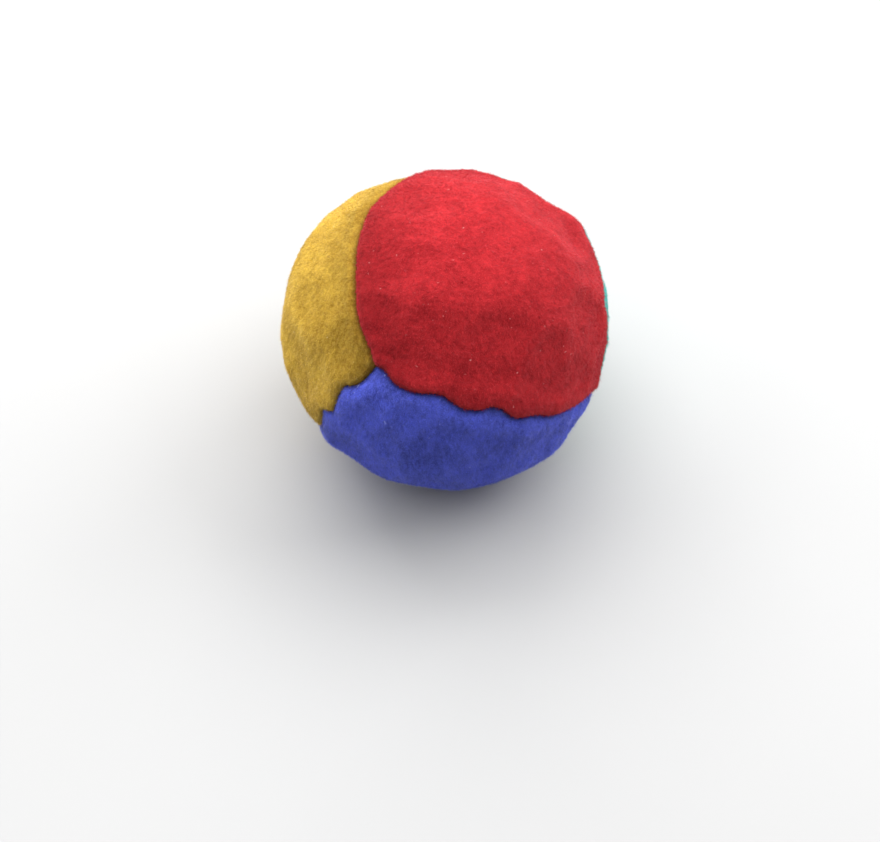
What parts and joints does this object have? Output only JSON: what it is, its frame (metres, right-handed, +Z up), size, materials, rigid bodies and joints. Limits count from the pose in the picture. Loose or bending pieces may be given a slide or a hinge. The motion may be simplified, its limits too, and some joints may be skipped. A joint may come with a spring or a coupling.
{
  "type": "juggling ball",
  "caption": "Soft round bean-bag ball sewn from suede panels in different colours, filled with grain, for juggling.",
  "frame": {"origin": "on the surface the ball rests on, under the middle of its box", "axes": "+Z up; the red panel is on top and faces +X, the ochre panel faces -X, the blue panel faces -Y"},
  "size_m": [0.0647, 0.0647, 0.063],
  "materials": {
    "suede_red": "brushed nap suede, matte",
    "suede_ochre": "brushed nap suede, matte",
    "suede_blue": "brushed nap suede, matte",
    "suede_teal": "brushed nap suede, matte",
    "seam_thread": "twisted polyester sewing thread",
    "closing_thread": "twisted polyester sewing thread",
    "liner_cotton": "plain-woven unbleached cotton",
    "millet": "dry round grain, slightly glossy husks"
  },
  "bodies": {
    "root": {"panel_red": "suede_red", "panel_ochre": "suede_ochre", "panel_blue": "suede_blue", "panel_teal": "suede_teal", "thread_red_ochre": "seam_thread", "thread_red_blue": "seam_thread", "thread_red_teal": "seam_thread", "thread_ochre_teal": "seam_thread", "thread_blue_teal": "seam_thread", "closing_thread_ochre_blue": "closing_thread", "liner_bag": "liner_cotton", "liner_tie": "seam_thread", "millet_fill": "millet"}
  },
  "joints": []
}
